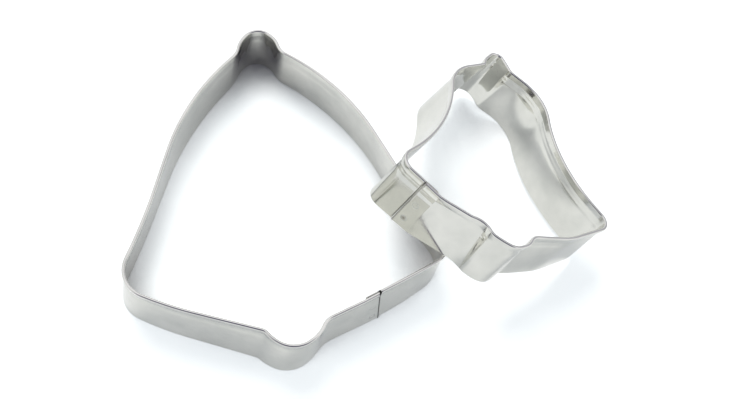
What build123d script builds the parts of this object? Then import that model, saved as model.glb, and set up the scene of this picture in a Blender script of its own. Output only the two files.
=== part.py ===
from build123d import *
import math
import os
from dataclasses import dataclass

# Two bell-shaped pastry cutters, each bent from one steel strip.
# The large one lies on the table, and the small one leans on its rim.
# All lengths are in millimetres and all angles in degrees.

# Strip, the same stock for both cutters
strip_height = 20.0
strip_thickness = 0.35
hem_depth = 2.5
rim_width = 1.15
rim_rounding = 0.45

# Lapped and welded ends of the strip
lap_length = 4.5
lap_gap = 0.05
joggle_run = 1.0
hem_gap = 0.3
weld_diameter = 2.2
weld_reach = 1.5
weld_inset = 2.4

# Outlines along the middle of the strip, across the corners and from clapper to knob
large_width = 94.0
large_length = 110.0
small_width = 67.0
small_length = 77.7

# Air left between the small cutter's edge and the large cutter's rim
seat_gap = 0.45

# The outline's corners from the clapper, up one side to the knob and down the other.
# Each one has its place at the rim and at the cutting edge, as shares of the half width
# and of the length, and its rounding as a share of the shorter side beside it.
# The bells are bent by hand, so the two sides and the two edges aren't quite alike.
large_outline_shares = [
    ( 0.045,  0.004,  0.011,  0.005, 0.392),
    ( 0.138,  0.026,  0.099,  0.027, 0.572),
    ( 0.188,  0.065,  0.180,  0.067, 0.488),
    ( 0.740,  0.158,  0.710,  0.153, 0.327),
    ( 1.080,  0.220,  1.051,  0.237, 0.267),
    ( 0.857,  0.403,  0.860,  0.407, 0.183),
    ( 0.524,  0.788,  0.577,  0.778, 0.926),
    ( 0.141,  0.918,  0.141,  0.939, 0.370),
    ( 0.114,  0.965,  0.096,  0.984, 0.369),
    ( 0.045,  0.997,  0.036,  1.010, 0.477),
    (-0.040,  0.997, -0.047,  1.014, 0.524),
    (-0.115,  0.965, -0.129,  0.990, 0.598),
    (-0.142,  0.924, -0.190,  0.940, 0.550),
    (-0.515,  0.787, -0.544,  0.787, 0.867),
    (-0.844,  0.402, -0.904,  0.416, 0.502),
    (-1.045,  0.230, -1.106,  0.246, 0.505),
    (-0.730,  0.152, -0.795,  0.160, 0.422),
    (-0.180,  0.056, -0.239,  0.051, 0.232),
    (-0.131,  0.027, -0.185,  0.027, 0.511),
    (-0.050,  0.003, -0.096,  0.002, 0.600),
]
small_outline_shares = [
    ( 0.057,  0.015,  0.039,  0.014, 0.409),
    ( 0.166,  0.033,  0.144,  0.033, 0.379),
    ( 0.235,  0.081,  0.245,  0.077, 0.711),
    ( 0.371,  0.087,  0.382,  0.097, 0.095),
    ( 0.612,  0.121,  0.655,  0.138, 0.150),
    ( 1.039,  0.255,  1.110,  0.263, 0.274),
    ( 0.511,  0.501,  0.577,  0.526, 0.751),
    ( 0.483,  0.833,  0.574,  0.850, 0.475),
    ( 0.135,  0.931,  0.220,  0.957, 0.222),
    ( 0.118,  0.966,  0.211,  0.997, 0.413),
    ( 0.043,  1.012,  0.142,  1.033, 0.262),
    (-0.036,  1.018,  0.018,  1.037, 0.425),
    (-0.089,  0.980, -0.063,  1.005, 0.591),
    (-0.136,  0.939, -0.104,  0.960, 0.342),
    (-0.506,  0.852, -0.440,  0.893, 0.623),
    (-0.539,  0.504, -0.531,  0.546, 0.712),
    (-1.071,  0.261, -1.081,  0.293, 0.236),
    (-0.620,  0.133, -0.608,  0.148, 0.312),
    (-0.369,  0.100, -0.356,  0.102, 0.299),
    (-0.229,  0.084, -0.193,  0.077, 0.422),
    (-0.174,  0.036, -0.142,  0.041, 0.410),
    (-0.048,  0.003, -0.054,  0.012, 0.595),
]

# Straight length that is left at least between two roundings
rounding_gap = 0.15

# Where the seam stands on its run of the mouth edge, at the cutting edge and at the rim
large_seam_shares = (0.707, 0.635)
small_seam_shares = (0.395, 0.417)
weld_height_shares = (0.18, 0.52)

# Where the small cutter's edge crosses the large rim: two places along the large
# rim's outline, and one along the small cutter's flank. The other crossing is on the
# run of the mouth edge that starts at this corner, the clapper's root
large_flank_rest_share = 0.295
large_corner_rest_share = 0.1833
small_flank_rest_share = 0.2704
small_rest_run = 2


@dataclass
class Cutter:
    width: float
    length: float
    outline_shares: list
    seam_run: int
    seam_shares: tuple
    seam_side: int


# The seam of the large cutter is on the run from the clapper's root, corner 2, and
# that of the small one two runs further out
large = Cutter(large_width, large_length, large_outline_shares, 2, large_seam_shares, 1)
small = Cutter(small_width, small_length, small_outline_shares, 4, small_seam_shares, -1)


def between(edge, rim, height):
    """A value at a height, from its values at the cutting edge and at the rim."""
    return edge + (rim - edge) * height / strip_height


def turn_at(before, point, after):
    """Half of the turn at a corner, in radians, positive where the outline is convex."""
    first = (point - before).normalized()
    second = (after - point).normalized()
    turn = math.atan2(first.X * second.Y - first.Y * second.X, first.dot(second))
    return turn / 2


def corners(cutter, height):
    """The outline's corners at a height, anticlockwise from the clapper, and their radii."""
    points = []
    for rim_x, rim_y, edge_x, edge_y, rounding in cutter.outline_shares:
        x = between(edge_x, rim_x, height) * cutter.width / 2
        y = between(edge_y, rim_y, height) * cutter.length
        points.append(Vector(x, y))
    following = points[1:] + points[:1]
    sides = [(after - point).length for point, after in zip(points, following)]

    roundings = [row[-1] for row in cutter.outline_shares]
    reach = [share * min(sides[i - 1], sides[i]) for i, share in enumerate(roundings)]
    both = [near + far for near, far in zip(reach, reach[1:] + reach[:1])]
    fit = [min(1, (side - rounding_gap) / total) for side, total in zip(sides, both)]
    rounded = []
    for i, point in enumerate(points):
        half = turn_at(points[i - 1], point, following[i])
        tangent = reach[i] * min(fit[i - 1], fit[i])
        rounded.append((point, tangent / math.tan(abs(half))))
    return rounded


def seam_frame(cutter, height):
    """The seam's place at a height, the way on along its run and the way out."""
    loop = corners(cutter, height)
    start = loop[cutter.seam_run][0]
    run = loop[cutter.seam_run + 1][0] - start
    along = run.normalized()
    outward = Vector(along.Y, -along.X)
    return start + run * between(*cutter.seam_shares, height), along, outward


def strip_path(cutter, covered, height):
    """The strip's route at a height, from its inner end round to its outer end."""
    seam, along, outward = seam_frame(cutter, height)
    step = outward * (strip_thickness + lap_gap)
    loop = corners(cutter, height)
    onward = cutter.seam_run + 1
    start = seam - along * covered
    joggle = seam - along * (lap_length + joggle_run) + step
    path = [(start, 0)] + loop[onward:] + loop[:onward]
    return path + [(joggle, 0), (seam + step, 0)]


def parallel(path, distance):
    """The path and its corners' radii, moved outward by a distance."""
    moved = []
    for i, (point, radius) in enumerate(path):
        before = path[max(i - 1, 0)][0]
        after = path[min(i + 1, len(path) - 1)][0]
        if i == 0 or i == len(path) - 1:
            along = (after - before).normalized()
            moved.append((point + Vector(along.Y, -along.X) * distance, 0))
            continue
        half = turn_at(before, point, after)
        first = (point - before).normalized()
        mitre = Vector(first.Y, -first.X) + first * math.tan(half)
        grown = radius + distance * math.copysign(1, half) if radius else 0
        moved.append((point + mitre * distance, grown))
    return moved


def placed(cutter, point):
    """A point of the outline, mirrored where the seam is on the left."""
    return Vector(cutter.seam_side * point.X, point.Y)


def closed_line(cutter, outline):
    """The closed line with rounded corners that runs through an outline."""
    points = [placed(cutter, point) for point, radius in outline]
    FilletPolyline(points, radius=[radius for point, radius in outline], close=True)


def section(cutter, height, inner, outer, covered):
    """The strip's outline at one height, between two distances outward."""
    path = strip_path(cutter, covered, height)
    return parallel(path, outer) + list(reversed(parallel(path, inner)))


def band(cutter, plane):
    """The strip with its folded rim, bent to the bell, with its ends lapped at the seam."""
    half = strip_thickness / 2
    rim_outer = rim_width - half
    bevel = rim_rounding * (1 - math.cos(math.radians(45)))
    wall_levels = [
        (0, -half, half),
        (strip_height - rim_rounding, -half, half),
        (strip_height - bevel, bevel - half, half),
    ]
    hem_levels = [
        (strip_height - hem_depth, 0, half + strip_thickness),
        (strip_height - hem_depth / 2, 0, rim_outer),
        (strip_height - rim_rounding, 0, rim_outer),
        (strip_height - bevel, bevel - half, rim_outer - bevel),
        (strip_height, rim_rounding - half, rim_outer - rim_rounding),
    ]
    with BuildPart() as strip:
        for levels, covered in ((wall_levels, lap_length), (hem_levels, -hem_gap)):
            for height, inner, outer in levels:
                with BuildSketch(plane.offset(height)):
                    with BuildLine():
                        closed_line(cutter, section(cutter, height, inner, outer, covered))
                    make_face()
            loft(ruled=True)
        with BuildSketch(weld_plane(cutter, plane)):
            weld_discs()
        extrude(amount=weld_reach, both=True, mode=Mode.SUBTRACT)
    return strip


def weld_plane(cutter, plane):
    """The plane of the strip's middle at the welds, facing out of the bell."""
    seam, along, outward = seam_frame(cutter, 0)
    rim_seam, rim_along, rim_outward = seam_frame(cutter, strip_height)
    foot = placed(cutter, seam - along * weld_inset)
    head = placed(cutter, rim_seam - rim_along * weld_inset) + Vector(0, 0, strip_height)
    level = (placed(cutter, seam) - foot) * cutter.seam_side
    local = Plane(origin=foot, x_dir=level, z_dir=level.cross(head - foot))
    return Plane(plane.location * local.location)


def weld_discs():
    """Both welds' round outlines, one above the other."""
    for share in weld_height_shares:
        with Locations((0, strip_height * share)):
            Circle(weld_diameter / 2)


def welds(cutter, plane):
    """The spot welds that hold the lapped ends, flush with both faces."""
    thickness = strip_thickness * 2 + lap_gap
    with BuildPart() as spots:
        with BuildSketch(weld_plane(cutter, plane).offset(-strip_thickness / 2)):
            weld_discs()
        extrude(amount=thickness)
    return spots


def middle_line(cutter, height):
    """The closed line along the middle of the strip at one height, without its seam."""
    with BuildLine() as line:
        closed_line(cutter, corners(cutter, height))
    return line.wires()[0]


def quarter_turn(direction):
    """A flat direction turned a quarter to the left."""
    return Vector(-direction.Y, direction.X)


def seat_plane():
    """The plane of the small cutter's edge: on two places of the large rim, and down to the table."""
    rim = middle_line(large, strip_height)
    flank = rim @ large_flank_rest_share
    corner = rim @ large_corner_rest_share
    across = (corner - flank).normalized()

    edge = middle_line(small, 0)
    near = edge @ small_flank_rest_share
    loop = corners(small, 0)
    mouth = [placed(small, loop[i][0]) for i in (small_rest_run + 1, small_rest_run)]
    along = (mouth[1] - mouth[0]).normalized()
    offset = near - mouth[0]
    run = offset.dot(along)
    span = (corner - flank).length
    far = mouth[0] + along * (run + math.sqrt(span**2 - offset.length**2 + run**2))
    own_across = (far - near).normalized()
    own_down = quarter_turn(own_across)

    level = edge.rotate(Axis.Z, -math.degrees(math.atan2(own_down.Y, own_down.X)))
    reach = level.bounding_box().max.X - near.dot(own_down) + strip_thickness / 2
    rise = strip_height + seat_gap
    lean = math.asin(rise / reach)
    down = quarter_turn(across) * math.cos(lean) - Vector(0, 0, math.sin(lean))
    x_dir = across * own_across.X + down * own_down.X
    y_dir = across * own_across.Y + down * own_down.Y
    origin = flank + Vector(0, 0, rise) - x_dir * near.X - y_dir * near.Y
    return Plane(origin=origin, x_dir=x_dir, z_dir=x_dir.cross(y_dir))


table = Plane.XY
seat = seat_plane()
large_band = band(large, table)
large_welds = welds(large, table)
small_band = band(small, seat)
small_welds = welds(small, seat)

# The set stands with its origin under the middle of its bounding box
bounds = Compound([large_band.part, small_band.part]).bounding_box()
centre = bounds.center()
shift = Location((-centre.X, -centre.Y, 0))

os.makedirs("parts", exist_ok=True)
large_band.part.label = "large_cutter_band"
large_welds.part.label = "large_cutter_welds"
small_band.part.label = "small_cutter_band"
small_welds.part.label = "small_cutter_welds"
for piece in (large_band, large_welds, small_band, small_welds):
    piece.part.move(shift)
    export_step(piece.part, f"parts/{piece.part.label}.step")
print("seat", seat, "moved by", shift.position, "size", bounds.size)
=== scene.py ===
import math

import bmesh
import bpy
from mathutils import Matrix, Vector, noise


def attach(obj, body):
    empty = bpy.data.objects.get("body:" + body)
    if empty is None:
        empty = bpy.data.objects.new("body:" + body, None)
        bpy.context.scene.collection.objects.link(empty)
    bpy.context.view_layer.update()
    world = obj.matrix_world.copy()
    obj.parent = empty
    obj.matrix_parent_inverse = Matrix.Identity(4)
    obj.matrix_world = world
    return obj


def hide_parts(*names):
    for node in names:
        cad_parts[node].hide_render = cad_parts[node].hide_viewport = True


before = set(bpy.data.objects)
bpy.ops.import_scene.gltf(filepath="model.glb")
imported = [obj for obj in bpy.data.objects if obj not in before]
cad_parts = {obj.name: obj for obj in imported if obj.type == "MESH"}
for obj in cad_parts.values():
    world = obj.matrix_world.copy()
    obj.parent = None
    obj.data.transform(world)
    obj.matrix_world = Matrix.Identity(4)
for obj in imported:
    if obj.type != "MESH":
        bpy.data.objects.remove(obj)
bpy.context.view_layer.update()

# Two bell-shaped pastry cutters of bright steel strip, on a white table.
# Each strip is swept from its folded section round the bell's corners, along one outline at
# the rim and another at the cutting edge. Strip sizes are in millimetres, and everything
# ends up in metres.

MM = 0.001

# Strip stock, as the source of the part has it
HEIGHT = 20.0
THICKNESS = 0.35
HEM_DEPTH = 2.5
RIM_WIDTH = 1.15
LAP_LENGTH = 4.5
LAP_GAP = 0.05
JOGGLE_RUN = 1.0
HEM_GAP = 0.3
WELD_INSET = 2.4
WELD_HEIGHTS = (3.6, 10.4)
ROUNDING_GAP = 0.15
# Keeps the dents inside the part's box
CLEARANCE = 0.035
# How far the rim's corner stands up at the strip's outer end, and how deep that reaches
END_CURL = 0.3
CURL_REACH = 1.0
# How far the strip's outer end stands off, and over what length
END_FLARE = 0.2
FLARE_RUN = 0.45
# Rounding of the bends at the joggle and at the flare
JOGGLE_RADIUS = 0.8
# How far the covered end runs on past the start of the hem
COVER_OVERRUN = 0.02
# How far the covered end stays below the rim
COVER_DROP = 0.2

# Where the middle of the set's box was before the part was moved to the origin
SET_MIDDLE = Vector((24.1158, 55.4742, 0))

# The outline's corners from the clapper, up one side to the knob and down the other: place
# at the rim and at the cutting edge, as shares of the half width and of the length, and
# rounding as a share of the shorter side beside the corner
LARGE_OUTLINE = [
    ( 0.045,  0.004,  0.011,  0.005, 0.392),
    ( 0.138,  0.026,  0.099,  0.027, 0.572),
    ( 0.188,  0.065,  0.180,  0.067, 0.488),
    ( 0.740,  0.158,  0.710,  0.153, 0.327),
    ( 1.080,  0.220,  1.051,  0.237, 0.470),
    ( 0.857,  0.403,  0.860,  0.407, 0.183),
    ( 0.524,  0.788,  0.577,  0.778, 0.926),
    ( 0.141,  0.918,  0.141,  0.939, 0.370),
    ( 0.114,  0.965,  0.096,  0.984, 0.369),
    ( 0.045,  0.997,  0.036,  1.010, 0.477),
    (-0.040,  0.997, -0.047,  1.014, 0.524),
    (-0.115,  0.965, -0.129,  0.990, 0.598),
    (-0.142,  0.924, -0.190,  0.940, 0.550),
    (-0.515,  0.787, -0.544,  0.787, 0.867),
    (-0.844,  0.402, -0.904,  0.416, 0.502),
    (-1.045,  0.230, -1.106,  0.246, 0.505),
    (-0.730,  0.152, -0.795,  0.160, 0.422),
    (-0.180,  0.056, -0.239,  0.051, 0.232),
    (-0.131,  0.027, -0.185,  0.027, 0.511),
    (-0.050,  0.003, -0.096,  0.002, 0.600),
]
SMALL_OUTLINE = [
    ( 0.057,  0.015,  0.039,  0.014, 0.409),
    ( 0.166,  0.033,  0.144,  0.033, 0.379),
    ( 0.235,  0.081,  0.245,  0.077, 0.711),
    ( 0.371,  0.087,  0.382,  0.097, 0.095),
    ( 0.612,  0.121,  0.655,  0.138, 0.150),
    ( 1.039,  0.255,  1.110,  0.263, 0.274),
    ( 0.511,  0.501,  0.577,  0.526, 0.751),
    ( 0.483,  0.833,  0.574,  0.850, 0.475),
    ( 0.135,  0.931,  0.220,  0.957, 0.222),
    ( 0.118,  0.966,  0.211,  0.997, 0.413),
    ( 0.043,  1.012,  0.142,  1.033, 0.262),
    (-0.036,  1.018,  0.018,  1.037, 0.425),
    (-0.089,  0.980, -0.063,  1.005, 0.591),
    (-0.136,  0.939, -0.104,  0.960, 0.342),
    (-0.506,  0.852, -0.440,  0.893, 0.623),
    (-0.539,  0.504, -0.531,  0.546, 0.712),
    (-1.071,  0.261, -1.081,  0.293, 0.236),
    (-0.620,  0.133, -0.608,  0.148, 0.312),
    (-0.369,  0.100, -0.356,  0.102, 0.299),
    (-0.229,  0.084, -0.193,  0.077, 0.422),
    (-0.174,  0.036, -0.142,  0.041, 0.410),
    (-0.048,  0.003, -0.054,  0.012, 0.595),
]


class Cutter:
    """One bell's outline, where its seam stands and how it rests."""

    def __init__(self, width, length, outline, seam_run, seam_shares, side, seat):
        self.width = width
        self.length = length
        self.outline = outline
        self.seam_run = seam_run
        self.seam_shares = seam_shares
        self.side = side
        self.seat = seat


def seat_matrix(origin, across, up):
    """Turns and moves a cutter from lying flat to how it rests."""
    across = Vector(across).normalized()
    up = Vector(up).normalized()
    turn = Matrix((across, up.cross(across), up)).transposed().to_4x4()
    return Matrix.Translation(Vector(origin)) @ turn


LARGE = Cutter(94.0, 110.0, LARGE_OUTLINE, 2, (0.707, 0.635), 1, Matrix())
SMALL = Cutter(
    67.0, 77.7, SMALL_OUTLINE, 4, (0.395, 0.417), -1,
    seat_matrix(
        (54.3985, 12.9938, 18.0379),
        (0.903683, -0.245371, -0.350928),
        (0.38591, 0.111553, 0.915767),
    ),
)


def between(edge, rim, up):
    """A value at a height, from its values at the cutting edge and at the rim."""
    return edge + (rim - edge) * (up / HEIGHT)


def turn_between(before, point, after):
    """The turn at a corner, positive to the left."""
    first = point - before
    second = after - point
    return math.atan2(first.cross(second), first.dot(second))


def corners(cutter, up):
    """The outline's corners at a height, anticlockwise from the clapper, with their radii."""
    points = []
    for rim_x, rim_y, edge_x, edge_y, _ in cutter.outline:
        x = between(edge_x, rim_x, up) * cutter.width / 2
        points.append(Vector((x, between(edge_y, rim_y, up) * cutter.length)))
    following = points[1:] + points[:1]
    sides = [(after - point).length for point, after in zip(points, following)]
    roundings = [row[-1] for row in cutter.outline]
    reach = [share * min(sides[i - 1], sides[i]) for i, share in enumerate(roundings)]
    both = [near + far for near, far in zip(reach, reach[1:] + reach[:1])]
    fit = [min(1, (side - ROUNDING_GAP) / total) for side, total in zip(sides, both)]
    rounded = []
    for i, point in enumerate(points):
        turn = turn_between(points[i - 1], point, following[i])
        tangent = reach[i] * min(fit[i - 1], fit[i])
        rounded.append((point, tangent / math.tan(abs(turn) / 2)))
    return rounded


def seam_frame(cutter, up):
    """The seam's place at a height, the way on along its run and the way out."""
    loop = corners(cutter, up)
    start = loop[cutter.seam_run][0]
    run = loop[cutter.seam_run + 1][0] - start
    along = run.normalized()
    seam = start + run * between(*cutter.seam_shares, up)
    return seam, along, Vector((along.y, -along.x))


def hemmed_path(cutter, up):
    """The route of the strip's hemmed length, right round to its outer end."""
    seam, along, outward = seam_frame(cutter, up)
    step = outward * (THICKNESS + LAP_GAP)
    loop = corners(cutter, up)
    onward = cutter.seam_run + 1
    joggle = seam - along * (LAP_LENGTH + JOGGLE_RUN) + step
    path = [(seam + along * HEM_GAP, 0)] + loop[onward:] + loop[:onward]
    flare = seam - along * FLARE_RUN + step
    end = seam + step + outward * END_FLARE
    return path + [(joggle, JOGGLE_RADIUS), (flare, JOGGLE_RADIUS), (end, 0)]


def covered_path(cutter, up):
    """The route of the covered end, which lies inside the outer one."""
    seam, along, _ = seam_frame(cutter, up)
    end = seam + along * (HEM_GAP + COVER_OVERRUN)
    return [(seam - along * LAP_LENGTH, 0), (end, 0)]


def seated(cutter, co):
    """Moves a point of the flat-lying cutter to where the cutter rests."""
    placed = cutter.seat @ Vector((cutter.side * co.x, co.y, co.z))
    return (placed - SET_MIDDLE) * MM


def srgb(code):
    """A hex colour as the linear numbers that shaders take."""
    parts = [int(code[i:i + 2], 16) / 255 for i in (1, 3, 5)]
    return tuple(c / 12.92 if c <= 0.04045 else ((c + 0.055) / 1.055) ** 2.4
                 for c in parts) + (1.0,)


def add(tree, kind, inputs=None, **settings):
    """Adds a node: inputs are values or the sockets that feed them."""
    made = tree.nodes.new(kind)
    for name, value in settings.items():
        setattr(made, name, value)
    for name, value in (inputs or {}).items():
        if isinstance(value, bpy.types.NodeSocket):
            tree.links.new(value, made.inputs[name])
        else:
            made.inputs[name].default_value = value
    return made


def new_material(name):
    material = bpy.data.materials.new(name)
    material.use_nodes = True
    material.node_tree.nodes.clear()
    return material, material.node_tree


def piece_from(bm, name, material):
    """Turns a finished bmesh into a smooth piece at the origin."""
    bmesh.ops.recalc_face_normals(bm, faces=bm.faces)
    mesh = bpy.data.meshes.new(name)
    bm.to_mesh(mesh)
    bm.free()
    mesh.shade_smooth()
    mesh.materials.append(material)
    made = bpy.data.objects.new(name, mesh)
    bpy.context.scene.collection.objects.link(made)
    return made


# Strip section: out from the bell's inside to its outside, and up from the cutting edge.
# The corners are rounded, and the long sides are cut up for the bend.

# Rounding of the bare edges, of the fold and of the hem's foot: size and segments
EDGE_ROUNDING = (0.06, 3)
FOLD_ROUNDING = (0.5, 9)
HEM_ROUNDING = (0.12, 4)
# How far an extra corner stands from an edge, to hold the shading
HOLD = 0.3
# A shallow line along the wall below the hem: its height, depth and half width
INNER_LINE = 15.2
INNER_LINE_DEPTH = 0.03
OUTER_LINE = 15.3
OUTER_LINE_DEPTH = 0.05
LINE_HALF = 0.3
# How far the outside is drawn in just below the hem, how far below, and at the line's top
DRAWN_IN_AT_HEM = 0.03
BELOW_HEM = 0.1
DRAWN_IN_AT_LINE = 0.02
# The crease inside, level with the hem's foot, and the slit between the hem and the wall
CREASE_DEPTH = 0.05
CREASE_REACH = 0.5
HEM_SLIT = 0.02
# Longest steps up the section and along the strip, and how finely bends are divided
SIDE_STEP = 1.6
RUN_STEP = 1.2
LEAST_ARCS = 4
DEGREES_AN_ARC = 4


def closed_section(bm, points):
    """A few corner points joined into one closed loop."""
    verts = [bm.verts.new((out, 0, up)) for out, up in points]
    for here, after in zip(verts, verts[1:] + verts[:1]):
        bm.edges.new((here, after))
    return verts


def rounded(bm, verts, size, segments):
    bmesh.ops.bevel(bm, geom=verts, offset=size, offset_type="OFFSET", affect="VERTICES",
                    segments=segments, profile=0.5, material=-1)


def finely_cut(bm):
    """Cuts the long upright sides into even lengths."""
    for edge in list(bm.edges):
        cuts = int(edge.calc_length() / SIDE_STEP)
        if cuts:
            bmesh.ops.subdivide_edges(bm, edges=[edge], cuts=cuts)


def folded_section(bm):
    """Wall, fold and hem: the upper edge is folded out, and its foot is pressed flat."""
    inner = -THICKNESS / 2
    outer = THICKNESS / 2
    rim = RIM_WIDTH - outer - CLEARANCE
    top = HEIGHT - CLEARANCE
    foot = HEIGHT - HEM_DEPTH
    verts = closed_section(bm, [
        (inner, 0), (inner, HOLD), (inner, INNER_LINE - LINE_HALF),
        (inner + INNER_LINE_DEPTH, INNER_LINE), (inner, INNER_LINE + LINE_HALF),
        (inner, foot - HOLD), (inner - CREASE_DEPTH, foot), (inner, foot + CREASE_REACH),
        (inner, top), (rim, top), (outer + THICKNESS, foot), (outer + HEM_SLIT, foot),
        (outer - DRAWN_IN_AT_HEM, foot - BELOW_HEM),
        (outer - DRAWN_IN_AT_LINE, OUTER_LINE + LINE_HALF),
        (outer - OUTER_LINE_DEPTH, OUTER_LINE), (outer, OUTER_LINE - LINE_HALF),
        (outer, HOLD), (outer, 0),
    ])
    rounded(bm, [verts[0], verts[17]], *EDGE_ROUNDING)
    rounded(bm, [verts[8], verts[9]], *FOLD_ROUNDING)
    rounded(bm, [verts[10]], *HEM_ROUNDING)
    finely_cut(bm)


def plain_section(bm):
    """The covered end of the strip, which has no hem."""
    half = THICKNESS / 2
    top = HEIGHT - COVER_DROP
    verts = closed_section(bm, [
        (-half, 0), (-half, HOLD), (-half, top - HOLD), (-half, top),
        (half, top), (half, top - HOLD), (half, HOLD), (half, 0),
    ])
    rounded(bm, [verts[0], verts[3], verts[4], verts[7]], *EDGE_ROUNDING)
    finely_cut(bm)


def steps_along(path):
    """How many steps each run and each rounded corner of a path gets."""
    steps = []
    here = path[0][0]
    for i, (point, radius) in enumerate(path[1:], 1):
        turn = 0
        if radius:
            turn = abs(turn_between(path[i - 1][0], point, path[i + 1][0]))
        runs = max(1, round((point - here).length / RUN_STEP))
        arcs = max(LEAST_ARCS, math.ceil(math.degrees(turn) / DEGREES_AN_ARC),
                   math.ceil(turn * radius / RUN_STEP))
        steps.append((runs, arcs))
        here = point
    return steps


def stations(path, steps):
    """Places along a path, each with the way out of the bell."""
    found = []
    here = path[0][0]
    for i, (point, radius) in enumerate(path[1:], 1):
        runs, arcs = steps[i - 1]
        along = (point - here).normalized()
        out = Vector((along.y, -along.x))
        turn = turn_between(here, point, path[i + 1][0]) if radius else 0
        bend = point - along * radius * math.tan(abs(turn) / 2)
        first = 1 if found else 0
        found += [(here.lerp(bend, k / runs), out) for k in range(first, runs + 1)]
        here = bend
        if radius:
            centre = bend - out * radius * math.copysign(1, turn)
            for k in range(1, arcs + 1):
                part = Matrix.Rotation(turn * k / arcs, 2)
                found.append((centre + part @ (bend - centre), part @ out))
            here = found[-1][0]
    return found


def sweep(section, cutter, route, curl=0.0):
    """Draws a section along its route at the rim and at the cutting edge at once.

    A curl lifts the rim's corner at the far end, and the sides of the last step before that
    end then have the cut's colour too, as painted shade of the slot at the seam.
    """
    bm = bmesh.new()
    section(bm)
    out_of = bm.verts.layers.float.new("out")
    up_of = bm.verts.layers.float.new("up")
    for vert in bm.verts:
        vert[out_of] = vert.co.x
        vert[up_of] = vert.co.z
    steps = steps_along(route(cutter, HEIGHT))
    rim = stations(route(cutter, HEIGHT), steps)
    edge = stations(route(cutter, 0), steps)
    cut_and_shade_of = bm.faces.layers.float.new("raw_cut_and_seam_shade")
    first = list(bm.edges)
    ring = first
    verts = list(bm.verts)
    for i, ((rim_at, rim_out), (edge_at, edge_out)) in enumerate(zip(rim, edge)):
        if i:
            made = bmesh.ops.extrude_edge_only(bm, edges=ring)["geom"]
            verts = [item for item in made if isinstance(item, bmesh.types.BMVert)]
            known = set(verts)
            ring = [item for item in made if isinstance(item, bmesh.types.BMEdge)
                    and item.verts[0] in known and item.verts[1] in known]
        for vert in verts:
            out = vert[out_of]
            up = vert[up_of]
            at = between(edge_at + edge_out * out, rim_at + rim_out * out, up)
            if i == len(rim) - 1 and up > HEIGHT - CURL_REACH:
                up += curl
            vert.co = (at.x, at.y, up)
    # The sides of the last step get the cut colour, as painted shade of the slot at the seam
    if curl:
        for face in {face for edge in ring for face in edge.link_faces}:
            face[cut_and_shade_of] = 1.0
    for open_end in (first, ring):
        for cap in bmesh.ops.contextual_create(bm, geom=open_end)["faces"]:
            cap[cut_and_shade_of] = 1.0
    return bm


def strip_bmesh(cutter):
    """The whole strip before it is seated: the hemmed length and the covered end."""
    bm = sweep(folded_section, cutter, hemmed_path, END_CURL)
    covered = sweep(plain_section, cutter, covered_path)
    mesh = bpy.data.meshes.new("covered end")
    covered.to_mesh(mesh)
    covered.free()
    bm.from_mesh(mesh)
    bpy.data.meshes.remove(mesh)
    return bm


# Faint waves that hand bending leaves in the strip: how far it strays, and how slowly
WAVE_DEPTH = 0.03
WAVE_LENGTH = 22.0
DENT_DEPTH = 0.008
DENT_LENGTH = 6.0
# The waves are a little shorter up the strip, and each way has its own
UPWARD_RATE = 1.3
OTHER_WAY = Vector((7, 3, 5))


def wave(co):
    """How far the strip strays sideways at a point."""
    strayed = Vector((0, 0, 0))
    for depth, length in ((WAVE_DEPTH, WAVE_LENGTH), (DENT_DEPTH, DENT_LENGTH)):
        place = Vector((co.x, co.y, co.z * UPWARD_RATE)) / length
        strayed.x += noise.noise(place) * depth
        strayed.y += noise.noise(place + OTHER_WAY) * depth
    return strayed


def seat_down(bm, cutter):
    for vert in bm.verts:
        vert.co = seated(cutter, vert.co + wave(vert.co))


# Bright rolled stainless strip: a mirror that is softened a little by the mill's lines,
# which run along the strip, and by handling marks

STEEL_BRIGHT = "#e7e6e0"
STEEL_SOILED = "#d9d9d3"
# Each cutter's sheared ends, chosen apart by how they look in the photograph. They also
# colour the last step of the outer wall before the end, and the large one's near-black is
# partly painted shade of the slot at the seam
LARGE_CUT_AND_SEAM_SHADE = "#2a2828"
SMALL_CUT = "#bdbbb7"
# A Mix node's two colour inputs and its colour output
FIRST = 6
SECOND = 7
MIXED = 2


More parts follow.
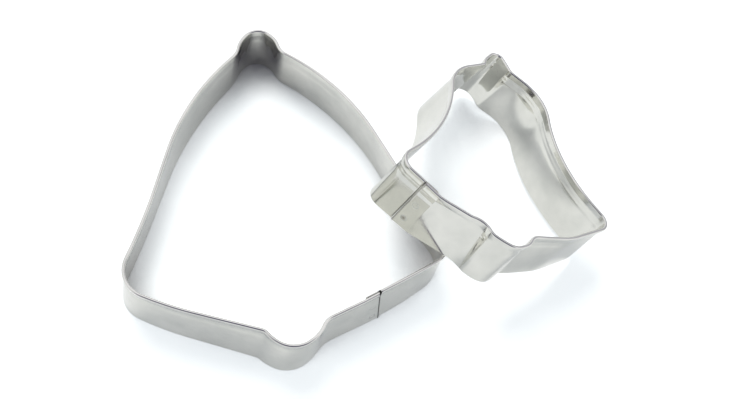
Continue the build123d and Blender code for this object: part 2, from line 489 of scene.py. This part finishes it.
def rolled_steel(name, turn, cut_and_shade_colour):
    material, tree = new_material(name)
    place = add(tree, "ShaderNodeTexCoord").outputs["Object"]
    along = add(tree, "ShaderNodeMapping", {"Vector": place, "Rotation": turn},
                vector_type="TEXTURE").outputs["Vector"]
    # Mill lines are about 0.1 mm wide and centimetres long
    lines_at = add(tree, "ShaderNodeMapping", {"Vector": along, "Scale": (40, 40, 5000)})
    lines = add(tree, "ShaderNodeTexNoise", {
        "Vector": lines_at.outputs["Vector"], "Scale": 1.0, "Detail": 2.0,
        "Roughness": 0.6})
    # Handling marks are about a centimetre across
    smudges = add(tree, "ShaderNodeTexNoise", {
        "Vector": along, "Scale": 110.0, "Detail": 3.0, "Roughness": 0.55})
    soiled = add(tree, "ShaderNodeMapRange", {
        "Value": smudges.outputs["Fac"], "From Min": 0.28, "From Max": 0.72})
    rolled = add(tree, "ShaderNodeMix", {
        "Factor": soiled.outputs["Result"], FIRST: srgb(STEEL_BRIGHT),
        SECOND: srgb(STEEL_SOILED)}, data_type="RGBA")
    # The sheared ends and the last step before them have the cut colour: a dull cut face, and
    # on the large cutter also painted shade of the slot at the seam
    cut_and_shade_mask = add(tree, "ShaderNodeAttribute", attribute_name="raw_cut_and_seam_shade").outputs["Fac"]
    tint = add(tree, "ShaderNodeMix", {
        "Factor": cut_and_shade_mask, FIRST: rolled.outputs[MIXED], SECOND: srgb(cut_and_shade_colour)},
        data_type="RGBA")
    rough = add(tree, "ShaderNodeMapRange", {
        "Value": smudges.outputs["Fac"], "From Min": 0.3, "From Max": 0.7,
        "To Min": 0.07, "To Max": 0.13})
    relief = add(tree, "ShaderNodeBump", {
        "Height": lines.outputs["Fac"], "Strength": 0.05, "Distance": 0.00002})
    shader = add(tree, "ShaderNodeBsdfPrincipled", {
        "Base Color": tint.outputs[MIXED], "Metallic": 1.0,
        "Roughness": rough.outputs["Result"], "Normal": relief.outputs["Normal"]})
    add(tree, "ShaderNodeOutputMaterial", {"Surface": shader.outputs["BSDF"]})
    return material


def make_strip(name, cutter, body, node, cut_and_shade_colour):
    bm = strip_bmesh(cutter)
    seat_down(bm, cutter)
    turn = cutter.seat.to_euler()
    made = piece_from(bm, name, rolled_steel(name + "_steel", tuple(turn), cut_and_shade_colour))
    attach(made, body)
    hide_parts(node)


# Spot welds: the steel is pressed into a shallow dish and scorched round its rim

WELD_RADIUS = 1.1
WELD_STEPS = 40
SAME_PLACE = 0.0001
# The weld's profile from the middle of its dish over the rim to its back: radius and height
WELD_PROFILE = [
    (0, 0.55), (0.33, 0.56), (0.6, 0.55), (0.94, 0.58), (1.06, 0.6), (1.1, 0.56),
    (1.1, -0.17), (1.04, -0.2), (0, -0.2),
]


def weld_bmesh(cutter):
    bm = bmesh.new()
    radius_of = bm.verts.layers.float.new("radius")
    for up in WELD_HEIGHTS:
        others = set(bm.verts)
        profile = [bm.verts.new((radius, 0, out)) for radius, out in WELD_PROFILE]
        line = [bm.edges.new(pair) for pair in zip(profile, profile[1:])]
        bmesh.ops.spin(bm, geom=profile + line, cent=(0, 0, 0), axis=(0, 0, 1),
                       angle=math.tau, steps=WELD_STEPS, use_merge=True)
        bmesh.ops.remove_doubles(bm, verts=[vert for vert in bm.verts if vert not in others],
                                 dist=SAME_PLACE)
        seam, along, outward = seam_frame(cutter, up)
        centre = seam - along * WELD_INSET
        axes = Matrix((along.to_3d(), Vector((0, 0, 1)), outward.to_3d())).transposed()
        place = Matrix.Translation((centre.x, centre.y, up)) @ axes.to_4x4()
        for vert in bm.verts:
            if vert not in others:
                vert[radius_of] = vert.co.xy.length / WELD_RADIUS
                vert.co = place @ vert.co
    return bm


def weld_steel(name):
    material, tree = new_material(name)
    radius = add(tree, "ShaderNodeAttribute", attribute_name="radius")
    place = add(tree, "ShaderNodeTexCoord").outputs["Object"]
    # Scorch marks are about half a millimetre across
    scorch = add(tree, "ShaderNodeTexNoise", {
        "Vector": place, "Scale": 1800.0, "Detail": 2.0, "Roughness": 0.6})
    ring = add(tree, "ShaderNodeMath", {0: scorch.outputs["Fac"], 1: 0.5,
                                        2: radius.outputs["Fac"]},
               operation="MULTIPLY_ADD")
    burnt = add(tree, "ShaderNodeValToRGB", {"Fac": ring.outputs[0]})
    ramp = burnt.color_ramp
    ramp.elements[0].position = 0.42
    ramp.elements[0].color = srgb("#7e7a74")
    ramp.elements[1].position = 1.0
    ramp.elements[1].color = srgb("#d0d2cc")
    middle = ramp.elements.new(0.68)
    middle.color = srgb("#c2bfb6")
    dark = ramp.elements.new(0.82)
    dark.color = srgb("#8a867f")
    shader = add(tree, "ShaderNodeBsdfPrincipled", {
        "Base Color": burnt.outputs["Color"], "Metallic": 1.0, "Roughness": 0.28})
    add(tree, "ShaderNodeOutputMaterial", {"Surface": shader.outputs["BSDF"]})
    return material


def make_welds(name, cutter, body, node):
    bm = weld_bmesh(cutter)
    for vert in bm.verts:
        vert.co = seated(cutter, vert.co)
    made = piece_from(bm, name, weld_steel(name + "_steel"))
    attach(made, body)
    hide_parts(node)


make_strip("large_strip", LARGE, "large_cutter", "large_cutter_band", LARGE_CUT_AND_SEAM_SHADE)
make_strip("small_strip", SMALL, "small_cutter", "small_cutter_band", SMALL_CUT)
make_welds("large_spot_welds", LARGE, "large_cutter", "large_cutter_welds")
make_welds("small_spot_welds", SMALL, "small_cutter", "small_cutter_welds")


# White tabletop and white light tent. The key lamp hangs above and behind the set, so the
# soft shadows fall to the front.

TABLE_GLOW = 0.75
TABLE_GLOW_IN_METAL = 0.48
# The glow dies down in corners that see little of the tent; this is contact shade painted
# into the glow with an occlusion node
NOOK_REACH = 0.045
NOOK_DARK = 0.26
NOOK_OPEN = 0.54
DOME_STRENGTH = 0.34
KEY_POWER = 5.5
KEY_PLACE = (-0.1, 0.5, 1.05)
KEY_WIDTH = 0.6
# Where the tent is open, by way: how far each opening is dark and how far it fades, in
# degrees, and how dark it is. The steel mirrors them, and the camera sees plain white.
OPENINGS = [
    ((-0.12, -0.62, 0.76), 32, 52, 1.0),
    ((0.8, 0.5, 0.33), 18, 34, 0.5),
]


def table_top():
    bm = bmesh.new()
    bmesh.ops.create_grid(bm, x_segments=1, y_segments=1, size=3.0)
    material, tree = new_material("white_table")
    ray = add(tree, "ShaderNodeLightPath")
    clear = add(tree, "ShaderNodeMath", {0: ray.outputs["Is Glossy Ray"],
                                         1: ray.outputs["Is Transmission Ray"]},
                operation="MAXIMUM")
    mirrored = add(tree, "ShaderNodeMath", {0: clear.outputs[0], 1: TABLE_GLOW_IN_METAL},
                   operation="MULTIPLY")
    lift = add(tree, "ShaderNodeMath", {0: ray.outputs["Is Camera Ray"], 1: TABLE_GLOW,
                                        2: mirrored.outputs[0]}, operation="MULTIPLY_ADD")
    # Painted contact shade: the occlusion dims the glow near walls and in tight corners
    nook = add(tree, "ShaderNodeAmbientOcclusion", {"Distance": NOOK_REACH}, samples=8)
    openness = add(tree, "ShaderNodeMapRange", {
        "Value": nook.outputs["AO"], "From Min": NOOK_DARK, "From Max": NOOK_OPEN},
        interpolation_type="SMOOTHSTEP")
    strength = add(tree, "ShaderNodeMath", {0: lift.outputs[0],
                                            1: openness.outputs["Result"]},
                   operation="MULTIPLY")
    paper = add(tree, "ShaderNodeBsdfDiffuse", {"Color": srgb("#efefef")})
    glow = add(tree, "ShaderNodeEmission", {"Color": srgb("#f6fdff"),
                                            "Strength": strength.outputs[0]})
    both = add(tree, "ShaderNodeAddShader", {0: paper.outputs[0], 1: glow.outputs[0]})
    add(tree, "ShaderNodeOutputMaterial", {"Surface": both.outputs[0]})
    piece_from(bm, "table_top", material)


def light_tent():
    """White cloth all round, with dark openings that the steel mirrors."""
    world = bpy.data.worlds.new("light_tent")
    bpy.context.scene.world = world
    world.use_nodes = True
    tree = world.node_tree
    tree.nodes.clear()
    ray = add(tree, "ShaderNodeLightPath")
    way = add(tree, "ShaderNodeTexCoord").outputs["Generated"]
    dark = 0.0
    for centre, core, fade, depth in OPENINGS:
        near = add(tree, "ShaderNodeVectorMath", {
            0: way, 1: Vector(centre).normalized()}, operation="DOT_PRODUCT")
        shade = add(tree, "ShaderNodeMapRange", {
            "Value": near.outputs["Value"], "From Min": math.cos(math.radians(fade)),
            "From Max": math.cos(math.radians(core)), "To Max": depth},
            interpolation_type="SMOOTHSTEP")
        dark = add(tree, "ShaderNodeMath", {0: dark, 1: shade.outputs["Result"]},
                   operation="MAXIMUM").outputs[0]
    cloth = add(tree, "ShaderNodeMix", {
        "Factor": dark, FIRST: srgb("#fafaff"), SECOND: srgb("#4a4766")},
        data_type="RGBA")
    seen = add(tree, "ShaderNodeMix", {
        "Factor": ray.outputs["Is Camera Ray"], FIRST: cloth.outputs[MIXED],
        SECOND: srgb("#ffffff")}, data_type="RGBA")
    dim = add(tree, "ShaderNodeMapRange", {
        "Value": ray.outputs["Is Diffuse Ray"], "To Min": 1.0, "To Max": DOME_STRENGTH})
    plain = add(tree, "ShaderNodeBackground", {"Color": seen.outputs[MIXED],
                                               "Strength": dim.outputs["Result"]})
    add(tree, "ShaderNodeOutputWorld", {"Surface": plain.outputs[0]})


def key_lamp():
    data = bpy.data.lights.new("key_lamp", "AREA")
    data.shape = "DISK"
    data.size = KEY_WIDTH
    data.energy = KEY_POWER
    data.color = srgb("#fffdf8")[:3]
    made = bpy.data.objects.new("key_lamp", data)
    made.location = KEY_PLACE
    made.rotation_euler = Vector(KEY_PLACE).to_track_quat("Z", "Y").to_euler()
    made.visible_glossy = False
    bpy.context.scene.collection.objects.link(made)


CAMERA_PLACE = (-0.040126, -0.167168, 0.30879)
CAMERA_RIGHT = (0.98521379, -0.15724128, 0.06803652)
CAMERA_UP = (0.10546835, 0.86956437, 0.48242536)


def camera():
    data = bpy.data.cameras.new("camera")
    data.sensor_width = 36.0
    data.lens = 52.8
    data.clip_start = 0.01
    data.clip_end = 20.0
    made = bpy.data.objects.new("camera", data)
    right = Vector(CAMERA_RIGHT)
    up = Vector(CAMERA_UP)
    back = right.cross(up)
    turn = Matrix((right, up, back)).transposed().to_4x4()
    made.matrix_world = Matrix.Translation(CAMERA_PLACE) @ turn
    bpy.context.scene.collection.objects.link(made)
    bpy.context.scene.camera = made


table_top()
light_tent()
key_lamp()
camera()
bpy.context.scene.view_settings.view_transform = "Standard"
